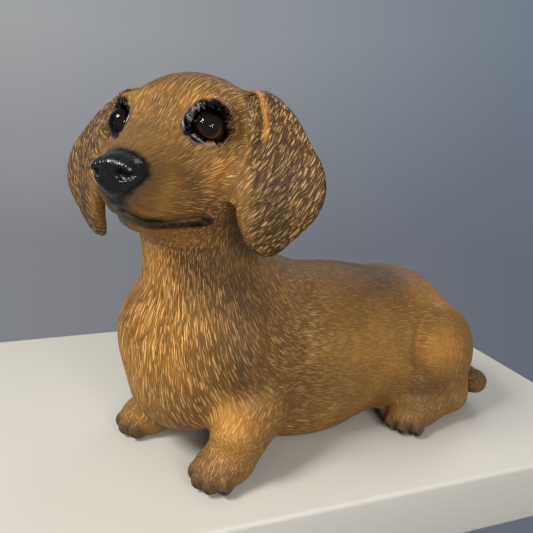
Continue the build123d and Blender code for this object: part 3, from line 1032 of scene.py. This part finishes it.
class Sock:
    """A shader socket that can be used in arithmetic."""

    def __init__(self, tree, socket):
        self.tree, self.socket = tree, socket

    def math(self, operation, *others, clamp=False):
        return self.tree.add("ShaderNodeMath", {"operation": operation, "use_clamp": clamp},
                             [self, *others])

    def __add__(self, other):
        return self.math("ADD", other)

    def __radd__(self, other):
        return self.math("ADD", other)

    def __sub__(self, other):
        return self.math("SUBTRACT", other)

    def __rsub__(self, other):
        return self.tree.add("ShaderNodeMath", {"operation": "SUBTRACT"}, [other, self])

    def __mul__(self, other):
        return self.math("MULTIPLY", other)

    def __rmul__(self, other):
        return self.math("MULTIPLY", other)

    def clamp(self):
        return self.math("ADD", 0.0, clamp=True)

    def step(self, low, high):
        """A soft rise from 0 to 1 between two values."""
        return self.tree.add("ShaderNodeMapRange", {"interpolation_type": "SMOOTHSTEP"},
                             {"Value": self, "From Min": low, "From Max": high})

    def blend(self, other, amount):
        """This colour with some of another over it."""
        return self.tree.mixed(amount, self, other)

    def scaled(self, factors):
        return self.tree.add("ShaderNodeVectorMath", {"operation": "MULTIPLY"}, [self, factors])

    def moved(self, other):
        return self.tree.add("ShaderNodeVectorMath", {"operation": "ADD"}, [self, other])


class Paint:
    """A material's node tree with one Principled shader."""

    def __init__(self, name):
        self.material = bpy.data.materials.new(name)
        self.material.use_nodes = True
        self.tree = self.material.node_tree
        self.shader = self.tree.nodes["Principled BSDF"]

    def add(self, kind, settings=None, inputs=(), output=0):
        """Any node: its settings first, then its sockets' values or links."""
        node = self.tree.nodes.new(kind)
        for key, value in (settings or {}).items():
            setattr(node, key, value)
        pairs = inputs.items() if isinstance(inputs, dict) else enumerate(inputs)
        for key, value in pairs:
            self.feed(node.inputs[key], value)
        return Sock(self, node.outputs[output])

    def feed(self, socket, value):
        if isinstance(value, Sock):
            self.tree.links.new(value.socket, socket)
        elif isinstance(value, (tuple, list)) and socket.type == "RGBA" and len(value) == 3:
            socket.default_value = (*value, 1)
        else:
            socket.default_value = value

    def attribute(self, name, output="Fac"):
        return self.add("ShaderNodeAttribute", {"attribute_name": name}, (), output)

    def place(self):
        return self.add("ShaderNodeTexCoord", None, (), "Object")

    def noise(self, where, scale, detail=2.0, rough=0.5):
        return self.add("ShaderNodeTexNoise", None,
                        {"Vector": where, "Scale": scale, "Detail": detail, "Roughness": rough})

    def cells(self, where, scale, feature="DISTANCE_TO_EDGE"):
        return self.add("ShaderNodeTexVoronoi", {"feature": feature}, {"Vector": where, "Scale": scale})

    def mixed(self, amount, first, second):
        """A colour between two others."""
        return self.add("ShaderNodeMix", {"data_type": "RGBA"}, {0: amount, 6: first, 7: second}, 2)

    def bump(self, height, distance, strength=1.0):
        return self.add("ShaderNodeBump", None,
                        {"Height": height, "Distance": distance, "Strength": strength}, "Normal")

    def finish(self, **sockets):
        for name, value in sockets.items():
            self.feed(self.shader.inputs[name.replace("_", " ")], value)
        return self.material


def strokes(paint, lay, hair, warp):
    """Engraved strokes on hair coordinates: 0 in a groove, 1 on a crest."""
    bent = lay.moved(warp)
    coarse = bent.scaled((MM / hair.length, MM / hair.pitch, MM / hair.pitch))
    locks = paint.cells(coarse, 1.0).step(0.0, 0.25)
    lines = paint.noise(coarse.scaled((0.9, 1.5, 1.5)), 1.0, 1.0)
    lines = (lines - 0.5).math("ABSOLUTE").step(0.0, 0.16)
    finer = coarse.scaled((2.6, 1.9, 1.9)).moved((3.1, 1.7, 0.4))
    short = paint.noise(finer, 1.0, 2.0, 0.6).step(0.36, 0.64)
    return (locks * 0.56 + lines * 0.30 + short * 0.28 - 0.06).clamp()


def coat_paint():
    """Hand-painted coat: airbrushed tones and some painted shade over engraved hair, wiped dark in the
    grooves.
    """
    scene = bpy.context.scene
    colours, hair = scene.figurine_colours, scene.figurine_hair
    paint = Paint("dog_coat")
    dark, gold, black = (paint.attribute(key) for key in ("dark", "gold", "black"))
    pink, relief, share = (paint.attribute(key) for key in ("pink", "relief", "own_share"))
    place = paint.place()
    wander = paint.add("ShaderNodeTexNoise", None, {"Vector": place, "Scale": 220.0, "Detail": 1.0}, "Color")
    warp = wander.moved((-0.5, -0.5, -0.5)).scaled((2.4, 0.8, 0.8))
    on_body = strokes(paint, paint.attribute("body_lay", "Vector"), hair, warp)
    on_own = strokes(paint, paint.attribute("own_lay", "Vector"), hair, warp)
    crest = on_body * (1 - share) + on_own * share
    clouds = paint.noise(place, 90.0, 3.0)
    grain = paint.noise(place, 900.0, 2.0)
    tone = paint.mixed((gold * 0.95 + (clouds - 0.5) * 0.7).clamp(), colours.tan[:], colours.gold[:])
    # the grey-brown airbrushed wash, which also carries the painted shade near the board and under the ears
    tone = tone.blend(colours.wash_and_shade[:], (dark * 0.9 + (clouds - 0.5) * dark * 0.8).clamp())
    groove = (1 - crest) * (relief * 0.90 + 0.08)
    tone = tone.blend(colours.groove[:], groove.clamp())
    tone = tone.blend(colours.crest[:], (crest.step(0.58, 0.98) * relief * 0.62 * (1 - dark * 0.5)).clamp())
    tone = tone.blend(colours.groove[:], (grain.step(0.62, 0.78) * 0.25).clamp())
    tone = tone.blend(colours.lid[:], (pink * 0.9).clamp())
    tone = tone.blend(colours.black[:], black)
    rough = 0.60 + (grain - 0.5) * 0.2 - crest * 0.08 - black * 0.32
    height = (crest * (relief * 0.85 + 0.06) + grain * 0.05) * (1 - black * 0.8)
    return paint.finish(Base_Color=tone, Roughness=rough.clamp(),
                        Normal=paint.bump(height, hair.depth), Coat_Weight=black * 0.06,
                        Coat_Roughness=0.12, Specular_IOR_Level=0.22)


def nose_glaze():
    """Gloss black with a fine pebbled skin."""
    paint = Paint("dog_nose")
    place = paint.place()
    pebbles = paint.cells(place, 1500.0, "F1")
    broad = paint.noise(place, 260.0, 2.0)
    colour = paint.mixed(broad, (0.002, 0.002, 0.002), (0.008, 0.008, 0.009))
    return paint.finish(Base_Color=colour, Roughness=(0.14 + broad * 0.14).clamp(), Coat_Weight=0.0,
                        Coat_Roughness=0.08, Normal=paint.bump(pebbles * 0.6 + broad * 0.4, 0.00022, 0.6),
                        Specular_IOR_Level=0.35)


def iris_paint():
    """A wide black pupil in a brown iris, which painted light makes lighter low down."""
    paint = Paint("dog_iris")
    round_at = paint.attribute("iris", "Vector")
    away = paint.add("ShaderNodeVectorMath", {"operation": "LENGTH"}, [round_at], "Value")
    split = paint.add("ShaderNodeSeparateXYZ", None, [round_at], "Y")
    spokes = paint.noise(round_at, 9.0, 3.0)
    # painted light: the iris turns lighter towards its bottom, as if lit through the glass from above
    iris_painted_light = paint.mixed((split * -0.9 + 0.35 + (spokes - 0.5) * 0.6).clamp(), (0.012, 0.004, 0.002),
                       (0.15, 0.042, 0.012))
    dark = (1 - away.step(0.50, 0.66)) + away.step(0.80, 0.96)
    colour = iris_painted_light.blend((0.003, 0.002, 0.002), dark.clamp())
    return paint.finish(Base_Color=colour, Roughness=0.5 + (spokes - 0.5) * 0.1, Specular_IOR_Level=0.05)


def eye_glass():
    """Clear glass."""
    paint = Paint("dog_glass")
    haze = paint.noise(paint.place(), 300.0, 2.0)
    paint.finish(Base_Color=(0.0, 0.0, 0.0), Roughness=haze * 0.03, IOR=1.6, Specular_IOR_Level=1.0)
    edge = paint.add("ShaderNodeFresnel", None, {"IOR": 1.6})
    dome = paint.attribute("dome")
    clear = paint.add("ShaderNodeBsdfTransparent", None, {"Color": (0.96, 0.95, 0.93)})
    gloss = Sock(paint, paint.shader.outputs[0])
    mixed = paint.add("ShaderNodeMixShader", None, [(edge * 1.8 + 0.03) * dome, clear, gloss])
    out = paint.tree.nodes["Material Output"]
    paint.tree.links.new(mixed.socket, out.inputs["Surface"])
    return paint.material


def shared(name, maker):
    return bpy.data.materials.get(name) or maker()


# ---------------------------------------------------------------- settings

def colour_property(name, description, default):
    return bpy.props.FloatVectorProperty(name=name, description=description, default=default, subtype="COLOR",
                                         size=3, min=0, max=1)


class FigurineColours(bpy.types.PropertyGroup):
    tan: colour_property("Tan", "The coat's main tone", (0.215, 0.103, 0.023))
    gold: colour_property("Gold", "The tone airbrushed on the chest, cheeks and legs", (0.580, 0.265, 0.042))
    # also used for the painted shade near the board and on the skull under the ears
    wash_and_shade: colour_property("Wash", "The grey-brown airbrushed on the back, skull and paws",
                          (0.062, 0.040, 0.020))
    groove: colour_property("Groove", "The dark wiped into the engraved hair", (0.026, 0.012, 0.003))
    crest: colour_property("Crest", "The light brushed over the hair's crests", (0.820, 0.500, 0.200))
    black: colour_property("Black", "Lids, lips and claws", (0.003, 0.003, 0.003))
    lid: colour_property("Lid", "The lower lids", (0.330, 0.150, 0.110))


class FigurineHair(bpy.types.PropertyGroup):
    length: bpy.props.FloatProperty(name="Length", description="Length of one engraved stroke",
                                    default=0.0060, min=0.001, unit="LENGTH")
    pitch: bpy.props.FloatProperty(name="Pitch", description="Distance between strokes", default=0.00066,
                                   min=0.0002, unit="LENGTH")
    depth: bpy.props.FloatProperty(name="Depth", description="Depth of a stroke", default=0.00028, min=0,
                                   unit="LENGTH")
    clump_depth: bpy.props.FloatProperty(name="Lock depth", description="How far locks of hair stand up",
                                         default=0.00022, min=0, unit="LENGTH")
    cell: bpy.props.FloatProperty(name="Cell", description="Size of the cast's faces", default=0.0006,
                                  min=0.0004, unit="LENGTH")


class FigurineStudio(bpy.types.PropertyGroup):
    board: colour_property("Board", "The pale board under the figurine", (0.50, 0.480, 0.435))
    wall: colour_property("Wall", "The backdrop", (0.22, 0.235, 0.265))
    light: bpy.props.FloatProperty(name="Light", description="Strength of the main light", default=1.0, min=0)
    lens: bpy.props.FloatProperty(name="Lens", description="The camera's focal length in millimetres",
                                  default=42.15, min=10)


# ---------------------------------------------------------------- operators

def make_coated(names, finer=False, finer_where=None):
    """Cuts, engraves and paints pieces that wear the coat."""
    for name in names:
        show_piece(name, cut_piece(name, finer, finer_where), shared("dog_coat", coat_paint))
    return {"FINISHED"}


def near_face(co):
    """Whether a place lies on the front of the head, where the casting is cut finer."""
    return head_frame(np.array([co], np.float32))[0][1] < -3


class CastFigure(bpy.types.Operator):
    """Model the clay figure and cast it, ready to be cut into pieces"""

    bl_idname = "figurine.cast_figure"
    bl_label = "Cast Figure"

    def execute(self, context):
        cell = context.scene.figurine_hair.cell / MM
        cast_figure(cell)
        return {"FINISHED"}


class MakeTorso(bpy.types.Operator):
    """Cut, engrave and paint the trunk and neck"""

    bl_idname = "figurine.make_torso"
    bl_label = "Make Torso"

    def execute(self, context):
        return make_coated(["torso"])


class MakeHead(bpy.types.Operator):
    """Cut, engrave and paint the head, finer round the face"""

    bl_idname = "figurine.make_head"
    bl_label = "Make Head"

    def execute(self, context):
        return make_coated(["head"], True, near_face)


class MakeEars(bpy.types.Operator):
    """Cut, engrave and paint the two ears"""

    bl_idname = "figurine.make_ears"
    bl_label = "Make Ears"

    def execute(self, context):
        return make_coated(EARS, True)


class MakeForelegs(bpy.types.Operator):
    """Cut, engrave and paint the forelegs and their paws"""

    bl_idname = "figurine.make_forelegs"
    bl_label = "Make Forelegs"

    def execute(self, context):
        return make_coated(FORELEGS, True)


class MakeHindLegs(bpy.types.Operator):
    """Cut, engrave and paint the folded hind legs"""

    bl_idname = "figurine.make_hind_legs"
    bl_label = "Make Hind Legs"

    def execute(self, context):
        return make_coated(HIND_LEGS, True)


class MakeTail(bpy.types.Operator):
    """Cut, engrave and paint the tail"""

    bl_idname = "figurine.make_tail"
    bl_label = "Make Tail"

    def execute(self, context):
        return make_coated(["tail"], True)


class MakeNose(bpy.types.Operator):
    """Cut and glaze the nose"""

    bl_idname = "figurine.make_nose"
    bl_label = "Make Nose"

    def execute(self, context):
        show_piece("nose", cut_piece("nose", True), shared("dog_nose", nose_glaze))
        return {"FINISHED"}


class MakeEyes(bpy.types.Operator):
    """Make the painted irises and the glass cabochons over them"""

    bl_idname = "figurine.make_eyes"
    bl_label = "Make Eyes"

    def execute(self, context):
        for word, side in SIDES.items():
            centre = on_head(*sided(EYE_BALL, side))
            axes = HEAD_AXES @ eye_axes(side)
            place = Matrix.Translation((centre * MM).tolist()) @ Matrix((axes * MM).tolist()).to_4x4()
            self.lens(word, place)
            self.iris(word, place)
        return {"FINISHED"}

    def lens(self, word, place):
        """The front of a glass ball, flat behind."""
        bm = bmesh.new()
        bmesh.ops.create_uvsphere(bm, u_segments=96, v_segments=64, radius=EYE_R)
        cut = bmesh.ops.bisect_plane(bm, geom=bm.verts[:] + bm.edges[:] + bm.faces[:],
                                     plane_co=(0, 0, LENS_FLAT), plane_no=(0, 0, -1), clear_outer=True)
        rim = [edge for edge in cut["geom_cut"] if isinstance(edge, bmesh.types.BMEdge)]
        back = bmesh.ops.holes_fill(bm, edges=rim, sides=0)["faces"]
        bmesh.ops.inset_region(bm, faces=back, thickness=0.1)
        layer = bm.verts.layers.float.new("dome")
        for vert in bm.verts:
            vert[layer] = float(vert.co.z > LENS_FLAT + 0.01 or vert.co.xy.length > 4.98)
        bmesh.ops.transform(bm, matrix=place, verts=bm.verts)
        bmesh.ops.recalc_face_normals(bm, faces=bm.faces[:])
        mesh = mesh_of(bm, "eye_lens_" + word)
        mesh.shade_smooth()
        mesh.set_sharp_from_angle(angle=SHARP_EYE)
        show_piece("eye_lens_" + word, mesh, shared("dog_glass", eye_glass))

    def iris(self, word, place):
        """A thin dished disc with a rounded edge, its own plane kept as an attribute."""
        bm = bmesh.new()
        bmesh.ops.create_circle(bm, cap_ends=True, segments=72, radius=IRIS_R)
        lifted = bmesh.ops.extrude_face_region(bm, geom=bm.faces[:])["geom"]
        top = [face for face in lifted if isinstance(face, bmesh.types.BMFace)]
        risen = [v for v in lifted if isinstance(v, bmesh.types.BMVert)]
        bmesh.ops.translate(bm, verts=risen, vec=(0, 0, 0.7))
        for ring in (0.5, 1.2, 1.3):
            top = [f for f in bm.faces if f.normal.z > 0.9 and len(f.verts) > 4] or top
            bmesh.ops.inset_region(bm, faces=top, thickness=ring, depth=-0.04)
        bmesh.ops.translate(bm, verts=bm.verts[:], vec=(0, 0, 0.9))
        layer = bm.verts.layers.float_vector.new("iris")
        for vert in bm.verts:
            vert[layer] = (vert.co.x / IRIS_R, vert.co.y / IRIS_R, 0)
        bmesh.ops.transform(bm, matrix=place, verts=bm.verts)
        bmesh.ops.recalc_face_normals(bm, faces=bm.faces[:])
        mesh = mesh_of(bm, "eye_iris_" + word)
        mesh.shade_smooth()
        mesh.set_sharp_from_angle(angle=SHARP_EYE)
        show_piece("eye_iris_" + word, mesh, shared("dog_iris", iris_paint))


class SetStage(bpy.types.Operator):
    """Lay the board, set the soft lights and the camera"""

    bl_idname = "figurine.set_stage"
    bl_label = "Set Stage"

    def execute(self, context):
        studio = context.scene.figurine_studio
        self.board(studio)
        self.backdrop(context, studio)
        self.lights(context, studio)
        self.camera(context, studio)
        context.scene.view_settings.view_transform = "Standard"
        return {"FINISHED"}

    def board(self, studio):
        """A pale rounded board that the figurine lies on."""
        bm = bmesh.new()
        bmesh.ops.create_cube(bm, size=1)
        bmesh.ops.transform(bm, matrix=Matrix.Diagonal((*BOARD_SIZE, 1)), verts=bm.verts)
        bmesh.ops.bevel(bm, geom=bm.edges[:], offset=0.0016, segments=4, profile=0.5, affect="EDGES",
                        material=-1)
        matrix = Matrix.Translation(BOARD_PLACE) @ Matrix.Rotation(BOARD_TURN, 4, "Z")
        bmesh.ops.transform(bm, matrix=matrix, verts=bm.verts)
        mesh = mesh_of(bm, "board")
        mesh.shade_smooth()
        mesh.set_sharp_from_angle(angle=SHARP_BOARD)
        board = bpy.data.objects.new("board", mesh)
        bpy.context.scene.collection.objects.link(board)
        paint = Paint("board_paper")
        fleck = paint.noise(paint.place(), 300.0, 3.0)
        colour = paint.mixed(fleck, tuple(c * 0.97 for c in studio.board), studio.board[:])
        mesh.materials.append(paint.finish(Base_Color=colour, Roughness=0.6))

    def backdrop(self, context, studio):
        """A grey world that shows the wall behind the figurine, with painted light that makes it brighter
        towards the top and one side, and lights the figurine plainly.
        """
        world = bpy.data.worlds.new("studio")
        context.scene.world = world
        world.use_nodes = True
        nodes, links = world.node_tree.nodes, world.node_tree.links
        nodes.clear()
        out = nodes.new("ShaderNodeOutputWorld")
        mix = nodes.new("ShaderNodeMixShader")
        ray = nodes.new("ShaderNodeLightPath")
        soft = nodes.new("ShaderNodeBackground")
        soft.inputs["Color"].default_value = (0.95, 0.97, 1.0, 1)
        soft.inputs["Strength"].default_value = 0.32 * studio.light
        wall = nodes.new("ShaderNodeBackground")
        where = nodes.new("ShaderNodeTexCoord")

        def rise(direction, low, high):
            along = nodes.new("ShaderNodeVectorMath")
            along.operation = "DOT_PRODUCT"
            along.inputs[1].default_value = direction
            links.new(where.outputs["Generated"], along.inputs[0])
            ramp = nodes.new("ShaderNodeMapRange")
            ramp.inputs["From Min"].default_value = low
            ramp.inputs["From Max"].default_value = high
            links.new(along.outputs["Value"], ramp.inputs["Value"])
            return ramp.outputs[0]

        def tone(amount, first, second):
            both = nodes.new("ShaderNodeMix")
            both.data_type = "RGBA"
            links.new(amount, both.inputs[0])
            for socket, value in ((both.inputs[6], first), (both.inputs[7], second)):
                if isinstance(value, tuple):
                    socket.default_value = (*(a * b for a, b in zip(studio.wall, value)), 1)
                else:
                    links.new(value, socket)
            return both.outputs[2]

        # painted light on the wall: brighter and warmer towards the top and one side, darker and bluer
        # towards the other
        across = rise((0.469, 0.883, 0.0), -0.36, 0.36)
        lower = tone(across, (0.98, 0.94, 0.89), (0.57, 0.60, 0.67))
        upper = tone(across, (1.62, 1.54, 1.40), (0.76, 0.86, 0.93))
        links.new(tone(rise((-0.233, 0.124, 0.965), 0.03, 0.34), lower, upper), wall.inputs["Color"])
        links.new(ray.outputs["Is Camera Ray"], mix.inputs["Fac"])
        links.new(soft.outputs[0], mix.inputs[1])
        links.new(wall.outputs[0], mix.inputs[2])
        links.new(mix.outputs[0], out.inputs["Surface"])

    def lights(self, context, studio):
        """A main softbox, two tall windows for the eyes to reflect, and a rim from behind."""
        aim = Vector(LAMP_AIM)
        for name, place, size, tall, watts, colour in (
                ("key_light", (0.06, -0.74, 0.80), 0.34, 0.34, 11.5, (1.0, 0.97, 0.92)),
                ("window_left", (0.62, -0.21, 0.30), 0.13, 0.22, 1.6, (1.0, 0.98, 0.96)),
                ("window_right", (0.65, -0.04, 0.30), 0.13, 0.22, 1.6, (1.0, 0.98, 0.96)),
                ("rim_light", (-0.35, 0.55, 0.60), 0.35, 0.35, 1.4, (0.95, 0.97, 1.0))):
            lamp = bpy.data.lights.new(name, "AREA")
            lamp.shape = "RECTANGLE"
            lamp.size = size
            lamp.size_y = tall
            lamp.energy = watts * studio.light
            lamp.color = colour
            holder = bpy.data.objects.new(name, lamp)
            holder.location = place
            holder.rotation_euler = (aim - Vector(place)).to_track_quat("-Z", "Y").to_euler()
            context.scene.collection.objects.link(holder)

    def camera(self, context, studio):
        """The camera level with the top of the head, out beyond the left shoulder."""
        heading, tilt, roll = CAMERA_HEADING, CAMERA_TILT, CAMERA_ROLL
        right = Vector((math.cos(heading), math.sin(heading), 0))
        ahead = Vector((-math.sin(heading) * math.cos(tilt), math.cos(heading) * math.cos(tilt),
                        -math.sin(tilt)))
        above = right.cross(ahead)
        x_axis = right * math.cos(roll) + above * math.sin(roll)
        y_axis = above * math.cos(roll) - right * math.sin(roll)
        lens = bpy.data.cameras.new("studio_camera")
        lens.lens = studio.lens
        lens.sensor_width = 36
        lens.clip_start = 0.01
        lens.clip_end = 20
        camera = bpy.data.objects.new("studio_camera", lens)
        turned = Matrix((x_axis, y_axis, -ahead)).transposed().to_4x4()
        camera.matrix_world = Matrix.Translation(CAMERA_PLACE) @ turned
        context.scene.collection.objects.link(camera)
        context.scene.camera = camera


PIECE_OPERATORS = (CastFigure, MakeTorso, MakeHead, MakeEars, MakeForelegs, MakeHindLegs, MakeTail, MakeNose,
                   MakeEyes, SetStage)


class FigurinePanel(bpy.types.Panel):
    """Lists the steps that make the figurine, and their settings"""

    bl_idname = "VIEW3D_PT_figurine"
    bl_label = "Dog Figurine"
    bl_space_type = "VIEW_3D"
    bl_region_type = "UI"
    bl_category = "Figurine"

    def draw(self, context):
        for operator in PIECE_OPERATORS:
            self.layout.operator(operator.bl_idname)
        for name in GROUPS:
            group = getattr(context.scene, name)
            box = self.layout.box()
            for key in group.__annotations__:
                box.prop(group, key)


CLASSES = (FigurineColours, FigurineHair, FigurineStudio, *PIECE_OPERATORS, FigurinePanel)
GROUPS = {"figurine_colours": FigurineColours, "figurine_hair": FigurineHair,
          "figurine_studio": FigurineStudio}


def register():
    for item in CLASSES:
        bpy.utils.register_class(item)
    for name, group in GROUPS.items():
        setattr(bpy.types.Scene, name, bpy.props.PointerProperty(type=group))


def unregister():
    for name in GROUPS:
        delattr(bpy.types.Scene, name)
    for item in reversed(CLASSES):
        bpy.utils.unregister_class(item)


def main():
    """Makes every piece in order."""
    register()
    for operator in PIECE_OPERATORS:
        area, word = operator.bl_idname.split(".")
        getattr(getattr(bpy.ops, area), word)()
    bpy.data.meshes.remove(CAST.pop("mesh"))


if __name__ == "__main__":
    main()
